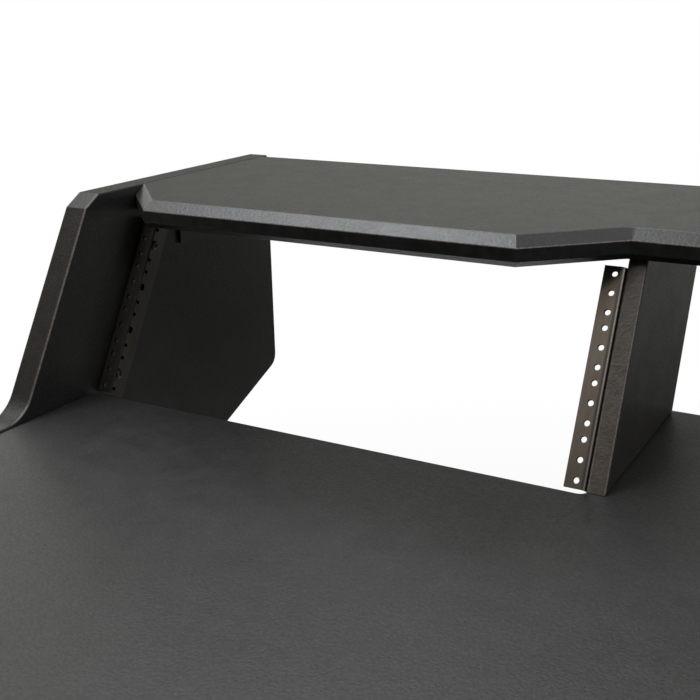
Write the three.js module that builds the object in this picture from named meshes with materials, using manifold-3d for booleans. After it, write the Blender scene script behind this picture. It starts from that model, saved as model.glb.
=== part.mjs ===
// Studio desk: a desktop between two shaped side panels, and a raised shelf over two rack bays that
// lean back. Millimetres, +Z up, +Y to the back. While it is built, Y is counted from the foot of the
// rack face. The finished desk stands on the floor with the centre of its footprint at the origin.
import * as THREE from "three";
import { mergeVertices } from "three/addons/utils/BufferGeometryUtils.js";
import Module from "manifold-3d";

const wasm = await Module();
wasm.setup();

// Driving dimensions
const deskHeight = 755; // floor to the desktop's upper face
const shelfRise = 190; // desktop's upper face to the shelf's upper face
const boardThick = 25; // side panels, desktop and shelf
const dividerThick = 15;
const stretcherThick = 18;
const centreBayWidth = 540; // clear width between the dividers
const rackHoleSpan = 465.1; // between the two hole columns of a 19-inch rack
const rackHoleToWall = 9; // hole column to the wall beside it
const rackUnit = 44.45;
const rackUnitCount = 4;
const rackLean = THREE.MathUtils.degToRad(28.8); // rack face, back from upright
const fitGap = 0.3; // clearance between pieces that touch
const cutOver = 4; // how far a cutter runs past a face
const weldReach = 0.001; // corners closer than this are one corner
const arcSteps = 4; // straight steps in a rounded corner
const roundSteps = 12; // sides of a turned piece or a hole

// Board edges
const topBevel = 9; // 45 degree bevel on the front edge of desktop and shelf
const underChamfer = 5.5; // 45 degree chamfer under the same edge
const edgeRound = 2; // rounded edges of side panels, dividers and stretcher
const edgeRoundSteps = 2;

// Side panels
const panelFrontReach = 520; // rack foot forward to the front edge
const panelFrontDrop = 69; // desktop's upper face down to the end of the front edge
const panelLip = 1.8; // how far the front part stands above the desktop
const panelRackMargin = 84; // leaning edge in front of the rack face, square to it
const panelTopChamfer = 13; // each leg of the cut top corner
const panelRearReach = 317; // rack foot back to the top rear corner
const panelRearLean = THREE.MathUtils.degToRad(2.3);
const panelRearDrop = 62.4; // desktop's upper face down to the lower rear corner
const panelRearRound = 16;
const panelUndersideSlope = THREE.MathUtils.degToRad(21.9);
const panelBendRound = 36; // hollow bend between the front part and the leaning edge
const panelCornerRound = 12;
const legKneeRound = 60; // hollow bends between the leg and the underside
const legTopRear = 60; // rack foot back to the top of the leg's rear edge
const legTopFront = 330; // rack foot forward to the top of the leg's front edge
const legTopDrop = 145; // desktop's upper face down to the top of the leg's front edge
const legFootRear = 170;
const legFootFront = 420;
const legFootRound = 6;

// Desktop
const desktopSetback = 2; // behind the panels' front edges
const bayEdgeSetback = 4; // rear edge in front of the rack foot, in the rack bays
const desktopRearReach = 209.6; // rack foot back to the rear edge, in the centre bay
const notchRound = 6.5; // hollow corner beside a divider
const desktopCornerRound = 8; // corner beside a side panel

// Shelf
const shelfNoseReach = 7.5; // rack foot back to the front edge, over the rack bays
const shelfStep = 67.5; // how far the front edge steps back over the centre bay
const shelfCornerInset = 63.4; // bay wall to the corner of the front edge
const shelfEndStep = 68; // how far the front edge steps back at a side panel
const shelfBendRound = 6; // hollow bends of the front edge, at the ends of the step, in plan
const shelfRearReach = 306;

// Dividers
const dividerDepth = 205.1; // front to back, level

// Rack rails
const railFootGap = 1.3; // above the desktop
const railThick = 3;
const railBend = 4.5; // outer radius
const railSideDepth = 40; // leg that lies on the wall
const railEdgeMargin = 8.8; // hole column to the free edge
const railFirstHole = 6.35; // foot of each rack unit to its first hole
const railHoleStep = 15.875;
const railFrontHoleRadius = 2.5;
const railSideHoleRadius = 1.75;
const railScrewHoleRadius = 3.5; // middle hole of each rack unit, on the side leg
const railSideHoleSetback = 24; // behind the rack face

// Stretcher
const stretcherHeight = 280;
const stretcherSetback = 10; // in front of the rack foot

// Steel angles
const angleThick = 3;
const angleBend = 5; // outer radius
const shelfAngleFront = 141; // rack foot back to the angle's front end
const shelfAngleLength = 149;
const shelfAngleDown = 45;
const shelfAngleAcross = 30;
const deskAngleFront = 430; // rack foot forward to the angle's front end
const deskAngleLength = 300;
const deskAngleDown = 40;
const deskAngleAcross = 40;
const wallScrewShares = [0.15, 0.85]; // along an angle, screws into the side panel
const boardScrewShares = [0.3, 0.7]; // along an angle, screws into the board above

// Fasteners
const panHeadRadius = 4.6;
const panHeadHeight = 2.4;
const panTopShare = 0.6; // flat top of a head, of its radius
const panRimShare = 0.45; // straight rim of a head, of its height
const woodScrewRadius = 2;
const woodScrewTip = 4;
const railScrewLength = 13;
const angleScrewLength = 16;
const dividerScrewLength = 55;
const dividerScrewShares = [0.25, 0.75]; // along the divider's foot
const stretcherScrewRadius = 3.2;
const stretcherScrewLength = 60;
const stretcherHeadRadius = 5;
const stretcherHeadHeight = 3;
const stretcherScrewShares = [0.15, 0.85]; // down the stretcher
const pilotSpare = 1.5; // a pilot hole runs this far past its screw's tip
const dowelRadius = 3;
const dowelLength = 30;
const dowelChamfer = 1;
const dowelShares = [0.25, 0.75]; // along the divider's top

// Levelling feet
const footHeight = 20; // floor to the foot edge of a side panel
const footInset = 60; // foot's centre from each end of the panel's foot edge
const footPadRadius = 12;
const footPadHeight = 5;
const footCollarRadius = 7;
const footConeHeight = 4;
const footStudRadius = 4;
const footStudLength = 24;
const insertRadius = 6.5;
const insertLength = 26;
const insertFlangeRadius = 10;
const insertFlangeThick = 1.5;

// Places that follow from the sizes
const up = new THREE.Vector3(0, 1, 0);
const skyward = new THREE.Vector3(0, 0, 1);
const dividerFaceX = centreBayWidth / 2 + dividerThick;
const panelFaceX = dividerFaceX + rackHoleSpan + 2 * rackHoleToWall;
const desktopUnderside = deskHeight - boardThick;
const shelfTop = deskHeight + shelfRise;
const shelfUnderside = shelfTop - boardThick;
const rackFootZ = deskHeight + railFootGap;
const railLength = rackUnit * rackUnitCount;
const railWidth = rackHoleToWall + railEdgeMargin;
const dividerFoot = deskHeight + fitGap;
const dividerTop = shelfUnderside - fitGap;
const rackY = (z) => (z - rackFootZ) * Math.tan(rackLean);
const rackPoint = (x, depth, height) => new THREE.Vector3(
  x,
  depth * Math.cos(rackLean) + height * Math.sin(rackLean),
  rackFootZ - depth * Math.sin(rackLean) + height * Math.cos(rackLean),
);
const footCentres = [footInset - legFootFront, legFootRear - footInset];

// Finishes, as seen in the photograph
const boardFinish = { color: 0x3d3e40, roughness: 0.7, metalness: 0 };
const dividerFinish = { color: 0x3a3a3b, roughness: 0.7, metalness: 0 };
const railFinish = { color: 0x57514b, roughness: 0.5, metalness: 0.6 };
const angleFinish = { color: 0x2f2f30, roughness: 0.6, metalness: 0.5 };
const screwFinish = { color: 0x2a2a2b, roughness: 0.45, metalness: 0.7 };
const dowelFinish = { color: 0xc9a878, roughness: 0.8, metalness: 0 };
const footFinish = { color: 0x1d1d1e, roughness: 0.6, metalness: 0 };
const insertFinish = { color: 0x9b9a96, roughness: 0.4, metalness: 0.9 };

const desk = new THREE.Group();

function add(parent, name, geometry, finish, position = new THREE.Vector3()) {
  const mesh = new THREE.Mesh(geometry, new THREE.MeshStandardMaterial(finish));
  mesh.name = name;
  mesh.position.copy(position);
  parent.add(mesh);
  return mesh;
}

// Points of a closed outline through corners [x, y, radius]. A corner with a radius becomes an arc,
// which takes up at most half of each edge beside it.
function roundedOutline(corners) {
  const points = corners.map(([x, y]) => new THREE.Vector2(x, y));
  return points.flatMap((corner, i) => {
    const radius = corners[i][2];
    if (!radius) return [corner];
    const toBefore = points.at(i - 1).clone().sub(corner);
    const toAfter = points[(i + 1) % points.length].clone().sub(corner);
    const room = Math.min(toBefore.length(), toAfter.length()) / 2;
    toBefore.normalize();
    toAfter.normalize();
    const half = Math.acos(THREE.MathUtils.clamp(toBefore.dot(toAfter), -1, 1)) / 2;
    const reach = Math.min(radius / Math.tan(half), room);
    const toCentre = toBefore.clone().add(toAfter).setLength(reach / Math.cos(half));
    const centre = corner.clone().add(toCentre);
    const start = toBefore.multiplyScalar(reach).sub(toCentre);
    const end = toAfter.multiplyScalar(reach).sub(toCentre);
    const sweep = Math.atan2(start.cross(end), start.dot(end));
    return Array.from({ length: arcSteps + 1 }, (_, step) =>
      start.clone().rotateAround(new THREE.Vector2(), (sweep * step) / arcSteps).add(centre),
    );
  });
}

// A closed geometry as a solid that can be cut.
function solidOf(geometry) {
  const bare = geometry.clone();
  bare.deleteAttribute("normal");
  bare.deleteAttribute("uv");
  const merged = mergeVertices(bare, weldReach);
  const vertProperties = merged.attributes.position.array;
  const triVerts = new Uint32Array(merged.index.array);
  return new wasm.Manifold(new wasm.Mesh({ numProp: 3, vertProperties, triVerts }));
}

function cutFrom(geometry, cutters) {
  const solid = cutters.reduce((rest, cutter) => rest.subtract(solidOf(cutter)), solidOf(geometry));
  const { vertProperties, triVerts } = solid.getMesh();
  const cut = new THREE.BufferGeometry();
  cut.setAttribute("position", new THREE.BufferAttribute(vertProperties, 3));
  cut.setIndex(new THREE.BufferAttribute(triVerts, 1));
  cut.computeVertexNormals();
  return cut;
}

// The turn that lays a piece made along +Y along another direction.
function turnTo(direction) {
  return new THREE.Quaternion().setFromUnitVectors(up, direction);
}

// A cutter for a round hole that opens at a point of a face and goes in along a direction.
function drill(point, direction, radius, depth) {
  const cutter = new THREE.CylinderGeometry(radius, radius, depth + cutOver, roundSteps);
  cutter.translate(0, (depth - cutOver) / 2, 0);
  cutter.applyQuaternion(turnTo(direction));
  return cutter.translate(point.x, point.y, point.z);
}

// A flat outline given thickness along +Z, with rounded rims where a radius is given.
function plate(shape, thick, rim = 0) {
  const geometry = new THREE.ExtrudeGeometry(shape, {
    depth: thick - 2 * rim,
    bevelEnabled: rim > 0,
    bevelThickness: rim,
    bevelSize: rim,
    bevelOffset: -rim,
    bevelSegments: edgeRoundSteps,
  });
  return geometry.translate(0, 0, rim);
}

// A plate whose outline is given in (Y, Z), standing up, with its thickness along X from zero towards
// the sign given.
function standingPlate(outline, thick, sign, rim) {
  const geometry = plate(new THREE.Shape(outline), thick, rim);
  const along = new THREE.Vector3(1, 0, 0);
  geometry.applyMatrix4(new THREE.Matrix4().makeBasis(up, skyward, along));
  return sign < 0 ? geometry.translate(-thick, 0, 0) : geometry;
}

// A board whose front edge is bevelled above and chamfered below. The outline is a function of how far
// the front edge is set in, and runs anticlockwise seen from above.
function edgedBoard(outline, underside) {
  const rings = [
    [underside, outline(underChamfer)],
    [underside + underChamfer, outline(0)],
    [underside + boardThick - topBevel, outline(0)],
    [underside + boardThick, outline(topBevel)],
  ];
  const count = rings[0][1].length;
  const lastRing = (rings.length - 1) * count;
  const positions = rings.flatMap(([z, points]) => points.flatMap((point) => [point.x, point.y, z]));
  const index = [];
  for (let corner = 0; corner < lastRing; corner++) {
    const next = corner + 1 - ((corner + 1) % count ? 0 : count);
    index.push(corner, next, next + count, corner, next + count, corner + count);
  }
  for (const [a, b, c] of THREE.ShapeUtils.triangulateShape(rings[0][1], [])) index.push(c, b, a);
  for (const face of THREE.ShapeUtils.triangulateShape(rings.at(-1)[1], [])) {
    index.push(...face.map((corner) => corner + lastRing));
  }
  const geometry = new THREE.BufferGeometry();
  geometry.setAttribute("position", new THREE.Float32BufferAttribute(positions, 3));
  geometry.setIndex(index);
  geometry.computeVertexNormals();
  return geometry;
}

// Section of bent steel with a leg along X and a leg along Y, its outer corner at the origin but for
// the clearance to the wall.
function angleSection(alongX, alongY, thick, bend) {
  const wall = Math.sign(alongX) * fitGap;
  const inner = wall + Math.sign(alongX) * thick;
  const across = Math.sign(alongY) * thick;
  return new THREE.Shape(roundedOutline([
    [wall, alongY],
    [wall, 0, bend],
    [alongX, 0],
    [alongX, across],
    [inner, across, bend - thick],
    [inner, alongY],
  ]));
}

// Screws and dowels are turned about the line that they drive along, with the seat of the head at zero.
function turned(profile) {
  const points = profile.map(([radius, along]) => new THREE.Vector2(radius, along));
  return new THREE.LatheGeometry(points, roundSteps);
}

function panScrew(length) {
  return turned([
    [0, -panHeadHeight],
    [panHeadRadius * panTopShare, -panHeadHeight],
    [panHeadRadius, -panHeadHeight * panRimShare],
    [panHeadRadius, 0],
    [woodScrewRadius, 0],
    [woodScrewRadius, length - woodScrewTip],
    [0, length],
  ]);
}

function addPanScrew(parent, name, seat, direction, length) {
  const lifted = seat.clone().addScaledVector(direction, -fitGap);
  add(parent, name, panScrew(length), screwFinish, lifted).quaternion.copy(turnTo(direction));
}

function pilot(seat, direction, screwLength) {
  return drill(seat, direction, woodScrewRadius + fitGap, screwLength + pilotSpare);
}

// Where each screw or dowel sits, as a point on the face that it enters.
const sideHoleHeights = Array.from({ length: rackUnitCount }, (_, unit) =>
  [0, 1, 2].map((hole) => unit * rackUnit + railFirstHole + hole * railHoleStep),
);
const railScrewHeights = { lower: sideHoleHeights[0][1], upper: sideHoleHeights.at(-1)[1] };
const along = (front, length, shares) => shares.map((share) => front + length * share);
const shelfAngle = {
  front: shelfAngleFront,
  length: shelfAngleLength,
  down: shelfAngleDown,
  across: shelfAngleAcross,
  top: shelfUnderside - fitGap,
};
const deskAngle = {
  front: -deskAngleFront,
  length: deskAngleLength,
  down: deskAngleDown,
  across: deskAngleAcross,
  top: desktopUnderside - fitGap,
};
const stretcherY = -stretcherSetback - stretcherThick / 2;
const stretcherTop = desktopUnderside - fitGap;
const stretcherScrewZ = stretcherScrewShares.map((share) => stretcherTop - stretcherHeight * share);
const dividerScrewY = along(rackY(dividerFoot), dividerDepth, dividerScrewShares);
const dowelY = along(rackY(dividerTop), dividerDepth, dowelShares);
const dividerMidX = dividerFaceX - dividerThick / 2;

// Side panel. Its inner face is at X zero, and side is -1 on the left and 1 on the right.
function sidePanel(side) {
  const slopeY = (z) => rackY(z) - panelRackMargin / Math.cos(rackLean);
  const lipZ = deskHeight + panelLip;
  const rearLowZ = deskHeight - panelRearDrop;
  const rearLowY = panelRearReach + (shelfTop - rearLowZ) * Math.tan(panelRearLean);
  const legRearZ = rearLowZ - (rearLowY - legTopRear) * Math.tan(panelUndersideSlope);
  const outline = roundedOutline([
    [-panelFrontReach, lipZ, panelCornerRound],
    [-panelFrontReach, deskHeight - panelFrontDrop, panelCornerRound],
    [-legTopFront, deskHeight - legTopDrop, legKneeRound],
    [-legFootFront, footHeight, legFootRound],
    [legFootRear, footHeight, legFootRound],
    [legTopRear, legRearZ, legKneeRound],
    [rearLowY, rearLowZ, panelRearRound],
    [panelRearReach, shelfTop],
    [slopeY(shelfTop) + panelTopChamfer, shelfTop],
    [
      slopeY(shelfTop) - panelTopChamfer * Math.sin(rackLean),
      shelfTop - panelTopChamfer * Math.cos(rackLean),
    ],
    [slopeY(lipZ), lipZ, panelBendRound],
  ]);
  const outward = new THREE.Vector3(side, 0, 0);
  const inward = new THREE.Vector3(-side, 0, 0);
  const cutters = [
    ...Object.values(railScrewHeights).map((height) =>
      pilot(rackPoint(0, railSideHoleSetback, height), outward, railScrewLength - railThick),
    ),
    ...[shelfAngle, deskAngle].flatMap(({ front, length, down, top }) =>
      along(front, length, wallScrewShares).map((y) =>
        pilot(new THREE.Vector3(0, y, top - down / 2), outward, angleScrewLength - angleThick),
      ),
    ),
    ...stretcherScrewZ.flatMap((z) => {
      const outer = new THREE.Vector3(side * boardThick, stretcherY, z);
      return [
        drill(outer, inward, stretcherHeadRadius + fitGap, stretcherHeadHeight + 2 * fitGap),
        drill(outer, inward, stretcherScrewRadius + fitGap, boardThick + cutOver),
      ];
    }),
    ...footCentres.map((y) =>
      drill(
        new THREE.Vector3((side * boardThick) / 2, y, footHeight),
        skyward,
        insertRadius + fitGap,
        insertLength + pilotSpare,
      ),
    ),
  ];
  return cutFrom(standingPlate(outline, boardThick, side, edgeRound), cutters);
}

// Desktop, with a deep notch at the rear of each rack bay.
function desktop() {
  const halfWidth = panelFaceX - fitGap;
  const frontY = desktopSetback - panelFrontReach;
  const outline = (inset) => roundedOutline([
    [-halfWidth, frontY + inset],
    [halfWidth, frontY + inset],
    [halfWidth, -bayEdgeSetback, desktopCornerRound],
    [dividerFaceX, -bayEdgeSetback, notchRound],
    [dividerFaceX, desktopRearReach, desktopCornerRound],
    [-dividerFaceX, desktopRearReach, desktopCornerRound],
    [-dividerFaceX, -bayEdgeSetback, notchRound],
    [-halfWidth, -bayEdgeSetback, desktopCornerRound],
  ]);
  const cutters = [-1, 1].flatMap((side) => [
    ...along(deskAngle.front, deskAngle.length, boardScrewShares).map((y) => {
      const x = side * (panelFaceX - deskAngle.across / 2);
      return pilot(new THREE.Vector3(x, y, desktopUnderside), skyward, angleScrewLength - angleThick);
    }),
    ...dividerScrewY.map((y) => {
      const point = new THREE.Vector3(side * dividerMidX, y, desktopUnderside);
      return drill(point, skyward, woodScrewRadius + fitGap, boardThick + cutOver);
    }),
  ]);
  return cutFrom(edgedBoard(outline, desktopUnderside), cutters);
}

// Shelf, whose front edge comes forward over each rack bay and steps back over the centre bay.
function upperShelf() {
  const halfWidth = panelFaceX - fitGap;
  const mitre = Math.tan(Math.PI / 8); // sideways shift of a 45 degree corner for each unit of inset
  const endSlope = shelfEndStep / shelfCornerInset;
  const endMitre = Math.tan(Math.atan(endSlope) / 2);
  const outline = (inset) => {
    const noseY = shelfNoseReach + inset;
    const outerX = panelFaceX - shelfCornerInset - inset * endMitre;
    const innerX = dividerFaceX + shelfCornerInset + inset * mitre;
    const frontLine = [
      [halfWidth, noseY + endSlope * (halfWidth - outerX)],
      [outerX, noseY],
      [innerX, noseY],
      [innerX - shelfStep, noseY + shelfStep, shelfBendRound + inset],
    ];
    return roundedOutline([
      ...frontLine.map(([x, y, round]) => [-x, y, round]),
      ...frontLine.reverse(),
      [halfWidth, shelfRearReach],
      [-halfWidth, shelfRearReach],
    ]);
  };
  const cutters = [-1, 1].flatMap((side) => [
    ...along(shelfAngle.front, shelfAngle.length, boardScrewShares).map((y) => {
      const x = side * (panelFaceX - shelfAngle.across / 2);
      return pilot(new THREE.Vector3(x, y, shelfUnderside), skyward, angleScrewLength - angleThick);
    }),
    ...dowelY.map((y) => {
      const point = new THREE.Vector3(side * dividerMidX, y, shelfUnderside);
      return drill(point, skyward, dowelRadius + fitGap, dowelLength / 2 + fitGap);
    }),
  ]);
  return cutFrom(edgedBoard(outline, shelfUnderside), cutters);
}

// Divider between a rack bay and the centre bay. Its bay face is at X zero.
function divider(side) {
  const outline = [
    [rackY(dividerFoot), dividerFoot],
    [rackY(dividerFoot) + dividerDepth, dividerFoot],
    [rackY(dividerTop) + dividerDepth, dividerTop],
    [rackY(dividerTop), dividerTop],
  ].map(([y, z]) => new THREE.Vector2(y, z));
  const midX = (-side * dividerThick) / 2;
  const inward = new THREE.Vector3(-side, 0, 0);
  const groundward = skyward.clone().negate();
  const cutters = [
    ...Object.values(railScrewHeights).map((height) =>
      pilot(rackPoint(0, railSideHoleSetback, height), inward, railScrewLength - railThick),
    ),
    ...dividerScrewY.map((y) =>
      pilot(new THREE.Vector3(midX, y, dividerFoot), skyward, dividerScrewLength - boardThick),
    ),
    ...dowelY.map((y) => {
      const point = new THREE.Vector3(midX, y, dividerTop);
      return drill(point, groundward, dowelRadius + fitGap, dowelLength / 2 + fitGap);
    }),
  ];
  return cutFrom(standingPlate(outline, dividerThick, -side, edgeRound), cutters);
}

// Stretcher under the desktop, from panel to panel.
function stretcher() {
  const length = 2 * (panelFaceX - fitGap);
  const low = stretcherTop - stretcherHeight;
  const outline = [
    [stretcherY - stretcherThick / 2, low],
    [stretcherY + stretcherThick / 2, low],
    [stretcherY + stretcherThick / 2, stretcherTop],
    [stretcherY - stretcherThick / 2, stretcherTop],
  ].map(([y, z]) => new THREE.Vector2(y, z));
  const board = standingPlate(outline, length, 1, edgeRound).translate(-length / 2, 0, 0);
  const cutters = [-1, 1].flatMap((side) => {
    const inward = new THREE.Vector3(-side, 0, 0);
    return stretcherScrewZ.map((z) => {
      const point = new THREE.Vector3((side * length) / 2, stretcherY, z);
      const depth = stretcherScrewLength - boardThick + pilotSpare;
      return drill(point, inward, stretcherScrewRadius + fitGap, depth);
    });
  });
  return cutFrom(board, cutters);
}

// Rack rail: bent steel whose front leg lies in the rack face and whose side leg lies on the wall.
// Along +Y it goes back from the rack face, along +Z up the lean, and it reaches from the wall
// towards the sign given.
function rackRail(sign) {
  const section = angleSection(sign * railWidth, railSideDepth, railThick, railBend);
  const back = new THREE.Vector3(0, 1, 0);
  const sideways = new THREE.Vector3(sign, 0, 0);
  const cutters = sideHoleHeights.flatMap((unitHeights) =>
    unitHeights.flatMap((height, hole) => {
      const front = new THREE.Vector3(sign * rackHoleToWall, 0, height);
      const side = new THREE.Vector3(sign * fitGap, railSideHoleSetback, height);
      const sideRadius = hole === 1 ? railScrewHoleRadius : railSideHoleRadius;
      return [
        drill(front, back, railFrontHoleRadius, railThick + cutOver),
        drill(side, sideways, sideRadius, railThick + cutOver),
      ];
    }),
  );
  return cutFrom(plate(section, railLength), cutters);
}

// A rail and its screws, in a group that leans back with the rack face.
function addRail(name, wallX, sign) {
  const lean = new THREE.Group();
  lean.position.set(wallX, 0, rackFootZ);
  lean.rotation.x = -rackLean;
  desk.add(lean);
  add(lean, `rack_rail_${name}`, rackRail(sign), railFinish);
  const toWall = new THREE.Vector3(-sign, 0, 0);
  for (const [place, height] of Object.entries(railScrewHeights)) {
    const seat = new THREE.Vector3(sign * (fitGap + railThick), railSideHoleSetback, height);
    addPanScrew(lean, `rail_screw_${name}_${place}`, seat, toWall, railScrewLength);
  }
}

// A steel angle that carries a board on a side panel, with two screws into each.
function addAngle(name, side, sideName, angle) {
  const { front, length, down, across, top } = angle;
  const section = angleSection(-side * across, -down, angleThick, angleBend);
  const outward = new THREE.Vector3(side, 0, 0);
  const wallSeats = along(0, length, wallScrewShares).map(
    (y) => new THREE.Vector3(-side * (fitGap + angleThick), y, -down / 2),
  );
  const boardSeats = along(0, length, boardScrewShares).map(
    (y) => new THREE.Vector3((-side * across) / 2, y, -angleThick),
  );
  const holeRadius = woodScrewRadius + fitGap;
  const cutters = [
    ...wallSeats.map((seat) => drill(seat, outward, holeRadius, angleThick + cutOver)),
    ...boardSeats.map((seat) => drill(seat, skyward, holeRadius, angleThick + cutOver)),
  ];
  const steel = plate(section, length).rotateX(Math.PI / 2).translate(0, length, 0);
  const group = new THREE.Group();
  group.position.set(side * panelFaceX, front, top);
  desk.add(group);
  add(group, `${name}_angle_${sideName}`, cutFrom(steel, cutters), angleFinish);
  ["front", "rear"].forEach((place, i) => {
    const wallName = `${name}_angle_panel_screw_${sideName}_${place}`;
    const boardName = `${name}_angle_board_screw_${sideName}_${place}`;
    addPanScrew(group, wallName, wallSeats[i], outward, angleScrewLength);
    addPanScrew(group, boardName, boardSeats[i], skyward, angleScrewLength);
  });
}

// Long screws up through the desktop into the divider, and dowels from the divider into the shelf.
function addDividerFixings(side, sideName) {
  ["front", "rear"].forEach((place, i) => {
    const seat = new THREE.Vector3(side * dividerMidX, dividerScrewY[i], desktopUnderside);
    addPanScrew(desk, `divider_screw_${sideName}_${place}`, seat, skyward, dividerScrewLength);
    const half = dowelLength / 2;
    const dowel = turned([
      [0, -half],
      [dowelRadius - dowelChamfer, -half],
      [dowelRadius, dowelChamfer - half],
      [dowelRadius, half - dowelChamfer],
      [dowelRadius - dowelChamfer, half],
      [0, half],
    ]);
    const middle = new THREE.Vector3(side * dividerMidX, dowelY[i], shelfUnderside - fitGap / 2);
    const name = `shelf_dowel_${sideName}_${place}`;
    add(desk, name, dowel, dowelFinish, middle).quaternion.copy(turnTo(skyward));
  });
}

// Stretcher screws, driven in from outside until the head is just under the panel's outer face.
function addStretcherScrews(side, sideName) {
  const inward = new THREE.Vector3(-side, 0, 0);
  const screw = turned([
    [0, 0],
    [stretcherHeadRadius, 0],
    [stretcherHeadRadius, stretcherHeadHeight],
    [stretcherScrewRadius, stretcherHeadHeight],
    [stretcherScrewRadius, stretcherScrewLength - stretcherScrewRadius],
    [0, stretcherScrewLength],
  ]);
  ["upper", "lower"].forEach((place, i) => {
    const seatX = side * (panelFaceX + boardThick - fitGap);
    const seat = new THREE.Vector3(seatX, stretcherY, stretcherScrewZ[i]);
    const name = `stretcher_screw_${sideName}_${place}`;
    add(desk, name, screw, screwFinish, seat).quaternion.copy(turnTo(inward));
  });
}

// Levelling feet: a threaded insert in the foot edge of the panel, and a foot that screws into it.
function addFeet(side, sideName) {
  const seatZ = footHeight - fitGap;
  const flangeUnderside = seatZ - insertFlangeThick;
  const collarTop = flangeUnderside - fitGap;
  const boreRadius = footStudRadius + fitGap;
  const insert = turned([
    [boreRadius, flangeUnderside],
    [insertFlangeRadius, flangeUnderside],
    [insertFlangeRadius, seatZ],
    [insertRadius, seatZ],
    [insertRadius, seatZ + insertLength],
    [boreRadius, seatZ + insertLength],
    [boreRadius, flangeUnderside],
  ]);
  const foot = turned([
    [0, 0],
    [footPadRadius, 0],
    [footPadRadius, footPadHeight],
    [footCollarRadius, footPadHeight + footConeHeight],
    [footCollarRadius, collarTop],
    [footStudRadius, collarTop],
    [footStudRadius, collarTop + footStudLength],
    [0, collarTop + footStudLength],
  ]);
  ["front", "rear"].forEach((place, i) => {
    const onFloor = new THREE.Vector3(side * (panelFaceX + boardThick / 2), footCentres[i], 0);
    const turn = turnTo(skyward);
    const insertName = `foot_insert_${sideName}_${place}`;
    add(desk, insertName, insert, insertFinish, onFloor).quaternion.copy(turn);
    const footName = `levelling_foot_${sideName}_${place}`;
    add(desk, footName, foot, footFinish, onFloor).quaternion.copy(turn);
  });
}

add(desk, "desktop", desktop(), boardFinish);
add(desk, "upper_shelf", upperShelf(), boardFinish);
add(desk, "rear_stretcher", stretcher(), boardFinish);
for (const [side, sideName] of [[-1, "left"], [1, "right"]]) {
  const panelPlace = new THREE.Vector3(side * panelFaceX, 0, 0);
  const dividerPlace = new THREE.Vector3(side * dividerFaceX, 0, 0);
  add(desk, `side_panel_${sideName}`, sidePanel(side), boardFinish, panelPlace);
  add(desk, `divider_${sideName}`, divider(side), dividerFinish, dividerPlace);
  addRail(`${sideName}_outer`, side * panelFaceX, -side);
  addRail(`${sideName}_inner`, side * dividerFaceX, side);
  addAngle("shelf", side, sideName, shelfAngle);
  addAngle("desk", side, sideName, deskAngle);
  addDividerFixings(side, sideName);
  addStretcherScrews(side, sideName);
  addFeet(side, sideName);
}

// The footprint's centre goes to the origin.
const extent = new THREE.Box3().setFromObject(desk);
desk.position.y = -(extent.min.y + extent.max.y) / 2;

export default desk;
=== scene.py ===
"""A studio desk: a desktop between shaped side panels, and a raised shelf over two rack bays that lean
back. Metres, +Z up, +Y to the back, with the desk's footprint centred on the origin."""

from itertools import product
from math import cos, pi, radians, sin, tan

import bpy
import numpy as np
from mathutils import Euler, Matrix, Vector
from mathutils.geometry import tessellate_polygon


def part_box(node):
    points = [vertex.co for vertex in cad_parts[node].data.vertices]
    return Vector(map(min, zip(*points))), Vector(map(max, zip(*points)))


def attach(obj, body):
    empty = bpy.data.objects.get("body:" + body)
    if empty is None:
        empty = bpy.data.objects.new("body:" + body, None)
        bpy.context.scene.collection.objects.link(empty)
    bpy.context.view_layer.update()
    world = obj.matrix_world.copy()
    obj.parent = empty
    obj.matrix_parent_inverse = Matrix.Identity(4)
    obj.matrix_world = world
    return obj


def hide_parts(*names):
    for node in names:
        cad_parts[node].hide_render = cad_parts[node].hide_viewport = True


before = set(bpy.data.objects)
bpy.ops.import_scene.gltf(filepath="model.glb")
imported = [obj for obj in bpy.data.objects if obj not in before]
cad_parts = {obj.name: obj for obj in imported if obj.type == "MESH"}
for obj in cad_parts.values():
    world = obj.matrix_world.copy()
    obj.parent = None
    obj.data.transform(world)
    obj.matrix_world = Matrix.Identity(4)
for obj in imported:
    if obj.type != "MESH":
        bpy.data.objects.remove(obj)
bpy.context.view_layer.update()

# Side panels. Each is one board of medium density fibreboard, routed to its outline with a small round
# along every edge, and sprayed with a dark satin lacquer. Two long screws go through each panel into
# the stretcher, with their heads in round recesses.
board_thick = 0.025
edge_round = 0.002
corner_steps = 12
section_steps = 5
soft_turn = radians(30)
snap = 1e-6

rack_lean = radians(28.8)
desktop_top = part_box("desktop")[1].z
shelf_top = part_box("upper_shelf")[1].z
desktop_rear_reach = 0.2096
rack_foot_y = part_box("desktop")[1].y - desktop_rear_reach
rack_foot_rise = 0.0013
rack_foot_z = desktop_top + rack_foot_rise

panel_face = 0.7681
panel_front_reach = 0.520
panel_front_drop = 0.069
panel_lip = 0.0018
panel_rack_margin = 0.084
panel_top_chamfer = 0.013
panel_rear_reach = 0.317
panel_rear_lean = radians(2.3)
panel_rear_drop = 0.0624
panel_rear_round = 0.016
panel_underside_slope = radians(21.9)
panel_bend_round = 0.036
panel_corner_round = 0.012
leg_knee_round = 0.060
leg_top_rear_reach = 0.060
leg_top_front_reach = 0.330
leg_top_drop = 0.145
leg_foot_rear_reach = 0.170
leg_foot_front_reach = 0.420
leg_foot_round = 0.006
foot_height = 0.020
recess_radius = 0.0053
recess_depth = 0.0036
recess_sides = 48
hands = ((-1, "left"), (1, "right"))


def unit(vectors):
    """The same directions with length one."""
    return vectors / np.linalg.norm(vectors, axis=-1, keepdims=True)


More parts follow.
